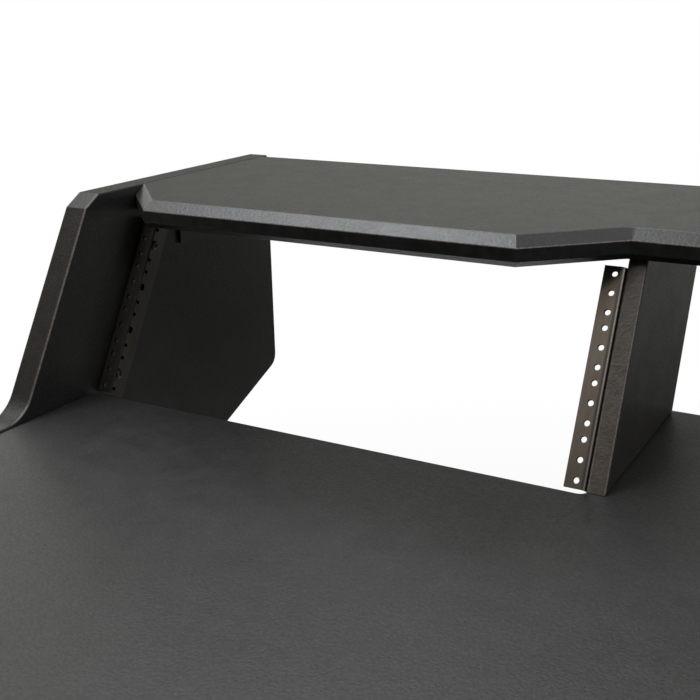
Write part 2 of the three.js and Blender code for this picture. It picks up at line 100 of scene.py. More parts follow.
def rounded_outline(corners):
    """A closed outline through corners (u, v, radius), anticlockwise. Each arc's centre lies on its
    corner's bisector, radius / sin(half the corner's angle) away, and its points turn evenly from one
    edge to the other. A corner with no radius stays one point."""
    corners = np.array(corners, float)
    point, radius = corners[:, :2], corners[:, 2:]
    back = unit(np.roll(point, 1, 0) - point)
    ahead = unit(np.roll(point, -1, 0) - point)
    half = np.arccos(np.sum(back * ahead, 1, keepdims=True)) / 2
    to_centre = unit(back + ahead) * radius / np.sin(half)
    start = back * radius / np.tan(half) - to_centre
    end = ahead * radius / np.tan(half) - to_centre
    turn = (pi - 2 * half)[:, :, None]
    share = np.linspace(0, 1, corner_steps + 1)[None, :, None]
    arcs = start[:, None] * np.sin((1 - share) * turn) + end[:, None] * np.sin(share * turn)
    arcs = arcs / np.sin(turn) + (point + to_centre)[:, None]
    kept = (radius > 0) | (np.arange(corner_steps + 1) == 0)
    return arcs[kept]


def edge_section(thick, under, over, bend):
    """How a board's edge runs from its underside to its top: the inset, the height and the angle of
    the normal at each point. Four corners turn the normal by 45 degrees each, from straight down to
    straight up, along arcs of radius bend. Between them lie a chamfer with legs of length under, the
    upright edge, and a bevel with legs of length over."""
    quarter = pi / 4
    starts = quarter * np.arange(-2, 2)[:, None]
    middle = starts + quarter / 2
    reach = bend / cos(quarter / 2)
    centre_inset = np.array([under, 0, 0, over])[:, None] + reach * np.cos(middle)
    centre_height = np.array([0, under, thick - over, thick])[:, None] - reach * np.sin(middle)
    angle = starts + quarter * np.linspace(0, 1, section_steps)[None, :]
    inset = centre_inset - bend * np.cos(angle)
    height = centre_height + bend * np.sin(angle)
    return inset.ravel(), height.ravel(), angle.ravel()


def plain_edge(thick, bend):
    """The section of an edge with only a quarter round of radius bend under and over it. The two arcs of
    a quarter round meet where the leg of their chamfer is (2 - the square root of 2) * bend."""
    leg = bend * (2 - 2**0.5)
    return edge_section(thick, leg, leg, bend)


def edges_moved_in(outline, insets):
    """The corners of an outline after each edge has moved in by its own amount. With n and m the inward
    normals of the two edges at a corner, and a and b their amounts, the corner moves by
    (a + b) / 2 * (n + m) / (1 + n.m) + (b - a) / 2 * (m - n) / (1 - n.m)."""
    along = unit(np.roll(outline, -1, 0) - outline)
    inward = np.stack([-along[:, 1], along[:, 0]], 1)
    before = np.roll(inward, 1, 0)
    cosine = np.sum(before * inward, 1, keepdims=True)
    both = (inward + before) / (1 + cosine)
    apart = (inward - before) / np.maximum(1 - cosine, snap)
    own = insets[:, :, None]
    other = np.roll(insets, 1, 1)[:, :, None]
    return outline + (own + other) / 2 * both + (own - other) / 2 * apart


def board_normals(outline, angles):
    """Normals at the four corners of each face of a board's rim. A normal is the outward normal of its
    edge, tipped up by the section's angle. Where two edges meet at less than soft_turn they share the
    mean of their normals, and otherwise the corner stays crisp."""
    along = unit(np.roll(outline, -1, 0) - outline)
    outward = np.stack([along[:, 1], -along[:, 0]], 1)
    before = np.roll(outward, 1, 0)
    soft = np.sum(outward * before, 1, keepdims=True) > cos(soft_turn)
    shared = unit(outward + before)
    at_start = np.where(soft, shared, outward)
    at_end = np.roll(np.where(soft, shared, before), -1, 0)
    tip = angles[:, :, None]
    start = np.concatenate([np.cos(tip) * at_start, np.sin(tip) + 0 * at_start[:, :1]], 2)
    end = np.concatenate([np.cos(tip) * at_end, np.sin(tip) + 0 * at_end[:, :1]], 2)
    return np.stack([start[:-1], end[:-1], end[1:], start[1:]], 2)


def round_recess(centre, radius, mouth, depth, sign):
    """A round recess in a flat face at height mouth, which looks up for a sign of 1 and down for -1, as
    its rim, points, faces and face corner normals. The normals of its wall point at its axis."""
    turn = np.linspace(0, 2 * pi, recess_sides, endpoint=False)
    circle = np.stack([np.cos(turn), np.sin(turn)], 1)
    rim = np.array(centre) + radius * circle
    level = np.full((recess_sides, 1), mouth)
    points = np.concatenate([np.hstack([rim, level]), np.hstack([rim, level - sign * depth])])
    ring = np.arange(recess_sides)
    after = np.roll(ring, -1)
    wall = np.stack([ring, ring + recess_sides, after + recess_sides, after], 1)[:, ::sign]
    faces = [*wall, (ring + recess_sides)[::sign]]
    inward = -np.hstack([circle, 0 * level])
    beside = np.roll(inward, -1, 0)
    wall_normals = np.stack([inward, inward, beside, beside], 1)[:, ::sign].reshape(-1, 3)
    floor_normals = np.tile([0, 0, float(sign)], (recess_sides, 1))
    return rim, points, faces, np.concatenate([wall_normals, floor_normals])


def flat_face(loops, starts, sign):
    """Triangles of a flat face inside the first loop and outside the others, over the points that begin
    at starts. It looks up for a sign of 1 and down for -1."""
    places = np.concatenate([start + np.arange(len(loop)) for start, loop in zip(starts, loops)])
    triangles = np.array(tessellate_polygon([[(u, v, 0) for u, v in loop] for loop in loops]))
    spots = np.concatenate(loops)[triangles]
    edge_a, edge_b = spots[:, 1] - spots[:, 0], spots[:, 2] - spots[:, 0]
    looks_down = edge_a[:, 0] * edge_b[:, 1] - edge_a[:, 1] * edge_b[:, 0] < 0
    wrong = looks_down == (sign > 0)
    triangles[wrong] = triangles[wrong, ::-1]
    return places[triangles]


def board_mesh(outline, thick, sections, kinds=None, recesses=()):
    """A board as points, faces and face corner normals, lying with its underside at height zero. Every
    edge of the outline has the section that kinds names, or the first. All sections are read at the same
    heights, so each height gives one ring of corners, and the rings are joined by quads. Recesses are
    (centre, radius, depth, sign), with a sign of -1 under the board and 1 over it."""
    if kinds is None:
        kinds = np.zeros(len(outline), int)
    heights = np.unique(np.concatenate([section[1] for section in sections]).round(7))
    insets = np.stack([np.interp(heights, section[1], section[0]) for section in sections], 1)
    angles = np.stack([np.interp(heights, section[1], section[2]) for section in sections], 1)
    rings = edges_moved_in(outline, insets[:, kinds])
    level = np.broadcast_to(heights[:, None, None], (*rings.shape[:2], 1))
    points = [np.concatenate([rings, level], 2).reshape(-1, 3)]

    count, depth = len(outline), len(heights)
    corner = np.arange(count * (depth - 1)).reshape(depth - 1, count)
    beside = np.roll(corner, -1, 1)
    quads = np.stack([corner, beside, beside + count, corner + count], 2).reshape(-1, 4)
    faces = quads.tolist()
    normals = [board_normals(outline, angles[:, kinds]).reshape(-1, 3)]

    for sign, loop, start, mouth in ((-1, rings[0], 0, 0), (1, rings[-1], count * (depth - 1), thick)):
        loops, starts = [loop], [start]
        for centre, radius, hollow, side in recesses:
            if side == sign:
                rim, *recess = round_recess(centre, radius, mouth, hollow, sign)
                loops.append(rim)
                starts.append(sum(len(part) for part in points))
                points.append(recess[0])
                faces += [(starts[-1] + face).tolist() for face in recess[1]]
                normals.append(recess[2])
        triangles = flat_face(loops, starts, sign)
        faces += triangles.tolist()
        normals.append(np.tile([0, 0, float(sign)], (3 * len(triangles), 1)))
    return np.concatenate(points), faces, np.concatenate(normals)


def add_piece(name, shape, finish, body, slot, *nodes):
    """A new piece of the object, in place of the CAD nodes named."""
    points, faces, normals = shape
    mesh = bpy.data.meshes.new(name)
    mesh.from_pydata(points, [], faces)
    mesh.shade_smooth()
    if normals is not None:
        mesh.normals_split_custom_set(normals)
    mesh.materials.append(finish)
    piece = bpy.data.objects.new(name, mesh)
    bpy.context.collection.objects.link(piece)
    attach(piece, body)
    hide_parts(*nodes)
    return piece


def lying(shape, low):
    """A board that lies flat, with its underside at height low."""
    points, faces, normals = shape
    return points + (0, rack_foot_y, low), faces, normals


def standing(shape, low):
    """A board that stands, with its outline in (Y, Z) and its thickness from low along X."""
    points, faces, normals = shape
    return points[:, [2, 0, 1]] + (low, rack_foot_y, 0), faces, normals[:, [2, 0, 1]]


class Shade:
    """A value or colour in a material's nodes. A sum on values adds its Math nodes."""

    def __init__(self, tree, socket=None):
        self.tree = tree
        self.socket = socket

    def node(self, kind, settings, inputs, output=0):
        """A new node of that kind as one of its outputs, with its settings made first."""
        made = self.tree.nodes.new("ShaderNode" + kind)
        for key, value in settings.items():
            setattr(made, key, value)
        for key, value in inputs.items():
            if isinstance(value, Shade):
                self.tree.links.new(value.socket, made.inputs[key])
            else:
                made.inputs[key].default_value = value
        return Shade(self.tree, made.outputs[output] if made.outputs else None)

    def math(self, operation, first, second):
        """The Math node of an operation on two values."""
        return self.node("Math", {"operation": operation}, {0: first, 1: second})

    def __add__(self, other):
        return self.math("ADD", self, other)

    def __sub__(self, other):
        return self.math("SUBTRACT", self, other)

    def __rsub__(self, other):
        return self.math("SUBTRACT", other, self)

    def __mul__(self, other):
        return self.math("MULTIPLY", self, other)

    __radd__ = __add__
    __rmul__ = __mul__

    def between(self, low, high):
        """Nought at low, one at high, and straight between."""
        return self.node("MapRange", {}, {"Value": self, "From Min": low, "From Max": high})

    def mix(self, first, second):
        """The first colour where this value is nought and the second where it is one."""
        return self.node("Mix", {"data_type": "RGBA"}, {0: self, 6: first, 7: second}, output=2)


def new_material(name):
    """A material with an empty tree."""
    material = bpy.data.materials.new(name)
    material.use_nodes = True
    material.node_tree.nodes.clear()
    return material, Shade(material.node_tree)


def noise(root, scale, detail=2, stretch=(1, 1, 1), space="Object"):
    """Noise with about scale cells to the metre, stretched by a factor along each axis."""
    place = root.node("TexCoord", {}, {}, output=space)
    squeezed = root.node("Mapping", {}, {"Vector": place, "Scale": stretch})
    return root.node("TexNoise", {}, {"Vector": squeezed, "Scale": scale, "Detail": detail})


def surface(root, **inputs):
    """The shader that ends a material."""
    named = {key.replace("_", " "): value for key, value in inputs.items()}
    shader = root.node("BsdfPrincipled", {}, named)
    root.node("OutputMaterial", {}, {"Surface": shader})


def two_tone(share, tones):
    """A colour from the first to the second of two tones."""
    dark, light = tones
    return share.mix((*dark, 1), (*light, 1))


def lacquer(name, face, edge, roughness, across, round_end):
    """Satin lacquer on fibreboard: a fine speckle between two tones, broad soft clouds of the same, and
    the small ripples that a spray gun leaves, which also break up the gloss. The cut edges of the board
    drink the lacquer, so they are blotched and have tones of their own, which may also be set darker as
    painted shade. They are where the normal lies away from the axis across the board, which is 0 for X
    and 2 for Z. On the small rounds that face the front, where the normal's share of that axis is less
    than round_end, a light brown is painted on as a highlight. The rounds that face up run along a seam,
    and there they are painted nearly black and dull as shade."""
    material, root = new_material(name)
    speckle = noise(root, 430, detail=4).between(0.32, 0.68)
    cloud = noise(root, 9, detail=3).between(0.35, 0.65)
    smear = noise(root, 45, detail=2).between(0.3, 0.7)
    tone = speckle * 0.75 + cloud * 0.15 + smear * 0.1
    blotch = noise(root, 130, detail=3).between(0.35, 0.65) * 0.6 + speckle * 0.4
    normal = root.node("TexCoord", {}, {}, output="Normal")
    tilt = root.math("ABSOLUTE", root.node("SeparateXYZ", {}, {0: normal}, output=across), 0)
    forward = 0 - root.node("SeparateXYZ", {}, {0: normal}, output=1)
    upward = root.node("SeparateXYZ", {}, {0: normal}, output=2)
    cut = 1 - tilt.between(0.3, 0.6)
    rounds = tilt.between(0.06, 0.3) * (1 - tilt.between(round_end - 0.1, round_end))
    facing = forward.between(0.2, 0.45) * upward.between(-0.1, 0.05)
    # Painted highlight: light brown on the small rounds that face the front.
    painted_highlight = rounds * facing * (0.4 + 0.6 * speckle)
    # Painted shade: the rounds that run along the seams are made nearly black and dull.
    seam_shade = rounds * (1 - forward.between(0.1, 0.25)) * upward.between(0.2, 0.4)
    unshaded = painted_highlight.mix(cut.mix(two_tone(tone, face), two_tone(blotch, edge)), highlight_brown)
    ripple = noise(root, 450, detail=2) + speckle * 0.8
    bump = root.node("Bump", {}, {"Height": ripple, "Strength": 0.6, "Distance": 0.00015})
    surface(
        root,
        Base_Color=seam_shade.mix(unshaded, seam_shade_black),
        Roughness=roughness - 0.06 * speckle + 0.05 * smear + 0.4 * seam_shade,
        Normal=bump,
    )
    return material


# Light brown painted on the rounds that face the front, as a highlight.
highlight_brown = (0.15, 0.128, 0.115, 1)
# Near black painted along the seams, as shade.
seam_shade_black = (0.003, 0.003, 0.003, 1)
board_greys = (0.010, 0.010, 0.010), (0.030, 0.030, 0.030)
panel_edge_browns = (0.008, 0.007, 0.006), (0.017, 0.015, 0.0135)
panel_lacquer = lacquer("panel_lacquer", board_greys, panel_edge_browns, 0.34, across=0, round_end=0.95)
panel_section = plain_edge(board_thick, edge_round)


def panel_outline():
    """Seen from the side: the front part, the leg, the sloping underside, the round rear corner, the
    top, and the long edge that leans back with the rack face."""
    def slope_y(z):
        return (z - rack_foot_z) * tan(rack_lean) - panel_rack_margin / cos(rack_lean)

    lip = desktop_top + panel_lip
    rear_low = desktop_top - panel_rear_drop
    rear_low_y = panel_rear_reach + (shelf_top - rear_low) * tan(panel_rear_lean)
    leg_rear = rear_low - (rear_low_y - leg_top_rear_reach) * tan(panel_underside_slope)
    chamfer_y = slope_y(shelf_top) - panel_top_chamfer * sin(rack_lean)
    return rounded_outline([
        (-panel_front_reach, lip, panel_corner_round),
        (-panel_front_reach, desktop_top - panel_front_drop, panel_corner_round),
        (-leg_top_front_reach, desktop_top - leg_top_drop, leg_knee_round),
        (-leg_foot_front_reach, foot_height, leg_foot_round),
        (leg_foot_rear_reach, foot_height, leg_foot_round),
        (leg_top_rear_reach, leg_rear, leg_knee_round),
        (rear_low_y, rear_low, panel_rear_round),
        (panel_rear_reach, shelf_top, 0),
        (slope_y(shelf_top) + panel_top_chamfer, shelf_top, 0),
        (chamfer_y, shelf_top - panel_top_chamfer * cos(rack_lean), 0),
        (slope_y(lip), lip, panel_bend_round),
    ])


def middle(node):
    """The centre of a CAD node's box."""
    low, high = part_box(node)
    return np.array((low + high) / 2)


for side, side_name in hands:
    heads = [middle(f"stretcher_screw_{side_name}_{place}") for place in ("upper", "lower")]
    recesses = [((y - rack_foot_y, z), recess_radius, recess_depth, side) for _, y, z in heads]
    shape = board_mesh(panel_outline(), board_thick, [panel_section], recesses=recesses)
    low = panel_face if side > 0 else -panel_face - board_thick
    node = f"side_panel_{side_name}"
    add_piece(f"side_board_{side_name}", standing(shape, low), panel_lacquer, "desk", "board", node)

# Stretcher. A plain board under the desktop, from panel to panel, that keeps the frame from leaning
# sideways. It is held at each end by two screws with a hexagon socket.
stretcher_low, stretcher_high = (np.array(corner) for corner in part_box("rear_stretcher"))
stretcher_thick = stretcher_high[0] - stretcher_low[0]
stretcher_outline = np.array([
    (stretcher_low[1], stretcher_low[2]),
    (stretcher_high[1], stretcher_low[2]),
    (stretcher_high[1], stretcher_high[2]),
    (stretcher_low[1], stretcher_high[2]),
]) - (rack_foot_y, 0)
stretcher_shape = standing(
    board_mesh(stretcher_outline, stretcher_thick, [plain_edge(stretcher_thick, edge_round)]),
    stretcher_low[0],
)
add_piece("stretcher_board", stretcher_shape, panel_lacquer, "desk", "board", "rear_stretcher")

# Desktop. One wide board of the same make, with a long bevel along its front edge and a chamfer under
# it. Behind each rack bay it is notched for cables, with round inner corners. Steel angles on the side
# panels carry its ends.
top_bevel = 0.009
under_chamfer = 0.0055
bevel_round = 0.0022
plain_round = 0.0012
fit_gap = 0.0003
desktop_setback = 0.002
bay_edge_setback = 0.004
notch_round = 0.0065
desktop_corner_round = 0.008
divider_face = 0.285
board_reach = panel_face - fit_gap
worktop_greys = (0.0115, 0.0115, 0.0112), (0.037, 0.037, 0.036)
worktop_lacquer = lacquer(
    "worktop_lacquer", worktop_greys, worktop_greys, 0.42, across=2, round_end=0.68
)

front_section = edge_section(board_thick, under_chamfer, top_bevel, bevel_round)
plain_section = plain_edge(board_thick, plain_round)


def front_edges(outline, front):
    """Nought for each edge whose middle lies in front of the line given, and one for the others."""
    halfway = (outline + np.roll(outline, -1, 0)) / 2
    return np.where(halfway[:, 1] < front, 0, 1)


desktop_front = desktop_setback - panel_front_reach
desktop_outline = rounded_outline([
    (-board_reach, desktop_front, 0),
    (board_reach, desktop_front, 0),
    (board_reach, -bay_edge_setback, desktop_corner_round),
    (divider_face, -bay_edge_setback, notch_round),
    (divider_face, desktop_rear_reach, desktop_corner_round),
    (-divider_face, desktop_rear_reach, desktop_corner_round),
    (-divider_face, -bay_edge_setback, notch_round),
    (-board_reach, -bay_edge_setback, desktop_corner_round),
])
desktop_shape = board_mesh(
    desktop_outline,
    board_thick,
    [front_section, plain_section],
    front_edges(desktop_outline, desktop_front + top_bevel),
)
desktop_shape = lying(desktop_shape, desktop_top - board_thick)
add_piece("desktop_board", desktop_shape, worktop_lacquer, "desk", "board", "desktop")

# Dividers. Two thinner boards that lean back between the rack bays and the centre bay. Long screws
# come up into them through the desktop, and dowels tie them to the shelf.
divider_face_greys = (0.020, 0.019, 0.018), (0.042, 0.040, 0.037)
divider_edge_browns = (0.031, 0.024, 0.019), (0.068, 0.055, 0.046)
divider_lacquer = lacquer(
    "divider_lacquer", divider_face_greys, divider_edge_browns, 0.36, across=0, round_end=0.95
)
divider_thick = 0.015
divider_depth = 0.2051
divider_low = desktop_top + fit_gap
divider_high = shelf_top - board_thick - fit_gap


def rack_face_y(z):
    """How far behind the foot of the rack face the face is at a height."""
    return (z - rack_foot_z) * tan(rack_lean)


divider_outline = np.array([
    (rack_face_y(divider_low), divider_low),
    (rack_face_y(divider_low) + divider_depth, divider_low),
    (rack_face_y(divider_high) + divider_depth, divider_high),
    (rack_face_y(divider_high), divider_high),
])
divider_shape = board_mesh(divider_outline, divider_thick, [plain_edge(divider_thick, edge_round)])
for side, side_name in hands:
    low = divider_face - divider_thick if side > 0 else -divider_face
    shape = standing(divider_shape, low)
    node = f"divider_{side_name}"
    add_piece(f"divider_board_{side_name}", shape, divider_lacquer, "desk", "board", node)

# Shelf. A board like the desktop's, bevelled above and chamfered below along its whole front. The front
# edge comes forward over each rack bay, steps back at 45 degrees over the centre bay, and slopes back to
# the side panels. Dowels in the dividers and steel angles at its ends hold it.
# The shelf's cut edges, its upright front faces and its ends at the panels, are painted darker than its
# top as shade.
shelf_edge_shade_greys = (0.006, 0.006, 0.006), (0.020, 0.020, 0.020)
board_lacquer = lacquer("board_lacquer", board_greys, shelf_edge_shade_greys, 0.34, across=2, round_end=0.68)
shelf_nose_reach = 0.0075
shelf_step = 0.0675
shelf_corner_inset = 0.0634
shelf_end_step = 0.068
shelf_bend_round = 0.006
shelf_rear_reach = 0.306
shelf_outer = panel_face - shelf_corner_inset
shelf_inner = divider_face + shelf_corner_inset
shelf_end_reach = shelf_nose_reach + (board_reach - shelf_outer) * shelf_end_step / shelf_corner_inset
shelf_half_front = np.array([
    (board_reach, shelf_end_reach, 0),
    (shelf_outer, shelf_nose_reach, 0),
    (shelf_inner, shelf_nose_reach, 0),
    (shelf_inner - shelf_step, shelf_nose_reach + shelf_step, shelf_bend_round),
])
shelf_outline = rounded_outline([
    *(shelf_half_front * (-1, 1, 1)),
    *shelf_half_front[::-1],
    (board_reach, shelf_rear_reach, 0),
    (-board_reach, shelf_rear_reach, 0),
])
shelf_shape = board_mesh(
    shelf_outline,
    board_thick,
    [front_section, plain_section],
    front_edges(shelf_outline, shelf_nose_reach + 1.5 * shelf_step),
)
shelf_shape = lying(shelf_shape, shelf_top - board_thick)
add_piece("shelf_board", shelf_shape, board_lacquer, "desk", "board", "upper_shelf")

# Rack rails. Each is a strip of sheet steel, cut flat with its two rows of holes, folded to a right
# angle and coated in a dull brown grey. The front leg takes the rack screws and the other leg is
# screwed to the wall of the bay.
rail_thick = 0.003
rail_bend = 0.0045
rail_width = 0.0178
rail_side_depth = 0.040
rack_unit = 0.04445
rack_units = 4
unit_holes = 3
first_rack_hole = 0.00635
rack_hole_pitch = 0.015875
rack_hole_to_wall = 0.009
rail_length = rack_units * rack_unit
rail_hole_heights = (
    first_rack_hole
    + rack_unit * np.arange(rack_units)[:, None]
    + rack_hole_pitch * np.arange(unit_holes)[None, :]
).ravel()
rail_front_hole = 0.0025
rail_side_hole = 0.00175
rail_screw_hole = 0.0035
rail_side_hole_depth = 0.024
hole_cell = 0.0055
front_hole_cell = 0.0038
rim_ring = 0.5
cell_steps = 12
bend_steps = 10
steel_edge = 0.00015


def sheet_lines(end, cells, extra=()):
    """Grid lines along one side of a sheet: its ends, lines through the cell around each hole, and any
    that a bend needs."""
    inside = [centre + half * np.linspace(-1, 1, cell_steps + 1) for centre, half in cells]
    return np.unique(np.concatenate([[0, end], *inside, extra]).round(6))


def cell_ring(s, v, hole):
    """How far out places lie in the square cell round a hole, from nought at its centre to one on its
    border."""
    centre_s, centre_v, _, half = hole
    return np.maximum(abs(s - centre_s) / half, abs(v - centre_v) / hole_cell)


def with_hole(s, v, hole):
    """A flat grid pushed out round a hole (across, along, radius, half cell). The square ring halfway to
    the cell's border goes onto the hole's rim, each point at the angle that its place along the ring
    gives, the border stays, and the rings between are shared out evenly."""
    centre_s, centre_v, radius, half = hole
    a, b = (s - centre_s) / half, (v - centre_v) / hole_cell
    ring = cell_ring(s, v, hole)
    near = (ring < 1 + snap) & (ring > rim_ring - snap)
    sideways = abs(a) >= abs(b)
    long_way, short_way = np.where(sideways, a, b), np.where(sideways, b, a)
    long_way = np.where(long_way == 0, 1, long_way)
    angle = pi / 4 * short_way / long_way
    far, near_by = np.sign(long_way) * np.cos(angle), np.sign(long_way) * np.sin(angle)
    rim_s = radius * np.where(sideways, far, near_by)
    rim_v = radius * np.where(sideways, near_by, far)
    share = (ring - rim_ring) / (1 - rim_ring)
    ring = np.where(ring == 0, 1, ring)
    pushed_s = centre_s + (1 - share) * rim_s + share * a / ring * half
    pushed_v = centre_v + (1 - share) * rim_v + share * b / ring * hole_cell
    return np.where(near, pushed_s, s), np.where(near, pushed_v, v)


def folded_sheet(front, side, bend, length, holes):
    """Points, faces and flat places of a sheet with holes, folded along its length. Flat, it is a grid
    of lines across and along, without the faces inside the holes' rims. The fold keeps distances along
    the outer face: a straight leg, a quarter circle, and the other leg."""
    flat = front - bend
    arc = bend * pi / 2
    end = flat + arc + side - bend
    bend_lines = np.linspace(flat, flat + arc, bend_steps)
    across = sheet_lines(end, [(s, half) for s, _, _, half in holes], bend_lines)
    upward = sheet_lines(length, [(v, hole_cell) for _, v, _, _ in holes])
    s, v = np.meshgrid(across, upward, indexing="ij")
    mid_s, mid_v = ((line[:-1, :-1] + line[1:, 1:]) / 2 for line in (s, v))
    solid = np.ones(mid_s.shape, bool)
    for hole in holes:
        s, v = with_hole(s, v, hole)
        solid &= cell_ring(mid_s, mid_v, hole) > rim_ring
    turn = np.clip((s - flat) / bend, 0, pi / 2)
    out = np.maximum(flat - s, 0) + bend * (1 - np.sin(turn))
    depth = bend * (1 - np.cos(turn)) + np.maximum(s - flat - arc, 0)
    corner = np.arange(s.size).reshape(s.shape)
    quads = np.stack([corner[:-1, :-1], corner[1:, :-1], corner[1:, 1:], corner[:-1, 1:]], 2)[solid]
    used, places = np.unique(quads, return_inverse=True)
    folded = np.stack([out.ravel(), depth.ravel(), v.ravel()], 1)[used]
    return folded, places.reshape(-1, 4), np.stack([s.ravel(), v.ravel()], 1)[used]


coated_greys = (0.032, 0.030, 0.027), (0.052, 0.048, 0.044)
# Near black painted on cut edges and hole walls, as the shade that falls in them.
edge_shade_blacks = (0.0006, 0.0006, 0.0006), (0.002, 0.002, 0.002)
edge_shade_from, edge_shade_to = 0.0004, 0.0012


def punched_edge():
    """The cut edges of a sheet and the walls of its holes, dull and painted nearly black as shade. The
    long edge where the flat sheet starts has taken the coating."""
    material, root = new_material("punched_edge")
    grit = noise(root, 900, detail=2).between(0.3, 0.7)
    flat_place = root.node("TexCoord", {}, {}, output="UV")
    # Painted shade on every cut edge past the coated one.
    edge_shade = root.node("SeparateXYZ", {}, {0: flat_place}, output=0).between(edge_shade_from, edge_shade_to)
    surface(
        root,
        Base_Color=edge_shade.mix(two_tone(grit, coated_greys), two_tone(grit, edge_shade_blacks)),
        Roughness=0.8 - 0.1 * grit,
        Specular_IOR_Level=0.05,
    )
    return material


punched = punched_edge()


def add_sheet(name, points, quads, flat, thick, finish, slot, node):
    """A folded sheet given its thickness and soft cut edges. Its flat places become its UV map, in
    metres, so that a coating's streaks follow the sheet."""
    piece = add_piece(name, (points, quads.tolist(), None), finish, "desk", slot, node)
    piece.data.materials.append(punched)
    layer = piece.data.uv_layers.new(name="flat")
    layer.data.foreach_set("uv", flat[quads.ravel()].astype(np.float32).ravel())
    solid = piece.modifiers.new("thickness", "SOLIDIFY")
    solid.thickness = thick
    solid.offset = -1
    solid.material_offset_rim = 1
    edges = piece.modifiers.new("cut edges", "BEVEL")
    edges.width = steel_edge
    edges.segments = 2
    edges.limit_method = "ANGLE"
    edges.angle_limit = radians(50)
    edges.harden_normals = True
    return piece


def steel_coat(name, tones, roughness, metallic, streaks):
    """Thin coating on sheet steel: streaks that run along the sheet, blotches where it went on thicker,
    and fine grit."""
    material, root = new_material(name)
    streak = noise(root, 260, detail=3, stretch=(1, 0.16, 1), space="UV").between(0.3, 0.7)
    blotch = noise(root, 55, detail=2, stretch=(1, 0.5, 1), space="UV").between(0.35, 0.65)
    grit = noise(root, 900, detail=2).between(0.3, 0.7)
    tone = streak * streaks + blotch * (0.75 - streaks) + grit * 0.25
    bump = root.node("Bump", {}, {"Height": grit, "Strength": 0.06, "Distance": 0.0001})
    surface(
        root,
        Base_Color=two_tone(tone, tones),
        Metallic=metallic,
        Roughness=roughness + 0.05 * blotch - 0.02 * grit,
        Normal=bump,
    )
    return material


rail_browns = (0.088, 0.080, 0.071), (0.134, 0.122, 0.108)
rail_coat = steel_coat("rail_coat", rail_browns, roughness=0.32, metallic=0.85, streaks=0.4)
rail_front = rail_width - fit_gap
front_row = rail_front - (rack_hole_to_wall - fit_gap)
side_row = rail_front + rail_bend * (pi / 2 - 2) + rail_side_hole_depth
rail_holes = [(front_row, v, rail_front_hole, front_hole_cell) for v in rail_hole_heights] + [
    (side_row, v, rail_screw_hole if i % unit_holes == 1 else rail_side_hole, hole_cell)
    for i, v in enumerate(rail_hole_heights)
]
rail_points, rail_quads, rail_places = folded_sheet(
    rail_front, rail_side_depth, rail_bend, rail_length, rail_holes
)
out, depth, height = rail_points.T
for name, wall, sign in (
    ("left_outer", -panel_face, 1),
    ("left_inner", -divider_face, -1),
    ("right_inner", divider_face, 1),
    ("right_outer", panel_face, -1),
):
    points = np.stack([
        wall + sign * (fit_gap + out),
        rack_foot_y + depth * cos(rack_lean) + height * sin(rack_lean),
        rack_foot_z - depth * sin(rack_lean) + height * cos(rack_lean),
    ], 1)
    quads = rail_quads[:, ::-sign]
    node = f"rack_rail_{name}"
    add_sheet(
        f"hole_rail_{name}", points, quads, rail_places, rail_thick, rail_coat, "rail_steel", node
    )

# Steel angles. Short ones carry the shelf's ends and long ones the desktop's, each screwed to a side
# panel and up into the board. They are folded from sheet as thick as the rails' and powder coated black.
angle_thick = 0.003
angle_bend = 0.005
wall_screw_shares = (0.15, 0.85)
board_screw_shares = (0.3, 0.7)
angle_hole = 0.0023
angle_greys = (0.046, 0.044, 0.042), (0.080, 0.077, 0.073)
angle_coat = steel_coat("angle_coat", angle_greys, roughness=0.45, metallic=0.3, streaks=0.2)
for board, (side, side_name) in product(("shelf", "desk"), hands):
    node = f"{board}_angle_{side_name}"
    low, high = (np.array(corner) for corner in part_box(node))
    across, length, down = high - low
    wall_row = across + angle_bend * (pi / 2 - 2) + down / 2
    board_row = (across + fit_gap) / 2
    holes = [(wall_row, length * share, angle_hole, hole_cell) for share in wall_screw_shares]
    holes += [(board_row, length * share, angle_hole, hole_cell) for share in board_screw_shares]
    points, quads, places = folded_sheet(across, down, angle_bend, length, holes)
    out, depth, height = points.T
    wall = low[0] if side < 0 else high[0]
    points = np.stack([wall - side * out, low[1] + height, high[2] - depth], 1)
    name = f"{board}_bracket_{side_name}"
    add_sheet(name, points, quads[:, ::side], places, angle_thick, angle_coat, "angle_steel", node)

# Screws. Pan head screws with a cross recess hold the rails and the angles and tie the dividers to the
# desktop. They are blackened steel, and only their heads show.
screw_sides = 48
head_radius = 0.0046
head_height = 0.0024
shank_radius = 0.002
thread_pitch = 0.0018
recess_arm = 0.0023
recess_width = 0.00048
recess_floor = 0.0013
dome_start = 1.35 * recess_arm
dome_drop = 0.55 * head_height
dome_steps = 8
seat_round = 0.0001
thread_margin = 0.0005
thread_steps = 40
tip_length = 0.004
tip_share = 0.15


def turned_faces(rings, sides):
    """Faces between the rings of a turned piece, with its first and last ring closed."""
    corner = np.arange((rings - 1) * sides).reshape(rings - 1, sides)
    beside = np.roll(corner, -1, 1)
    quads = np.stack([corner, beside, beside + sides, corner + sides], 2).reshape(-1, 4)
    ends = [list(range(sides))[::-1], list(range((rings - 1) * sides, rings * sides))]
    return [*quads.tolist(), *ends]


def turned_points(radius, height, sides):
    """Points at a radius and a height for each ring and each of the sides round the Z axis."""
    turn = np.linspace(0, 2 * pi, sides, endpoint=False)
    radius, height = np.broadcast_arrays(radius, height, subok=False)
    return np.stack([radius * np.cos(turn), radius * np.sin(turn), height], 2).reshape(-1, 3)


def cross_outline(arm, width):
    """Radius of a plus sign at each angle: the larger of its two bars, where a bar's radius is the
    smaller of its half length / cosine and its half width / sine."""
    turn = np.linspace(0, 2 * pi, screw_sides, endpoint=False) + pi / screw_sides
    c, s = abs(np.cos(turn)), abs(np.sin(turn))
    return np.maximum(np.minimum(arm / c, width / s), np.minimum(width / c, arm / s))


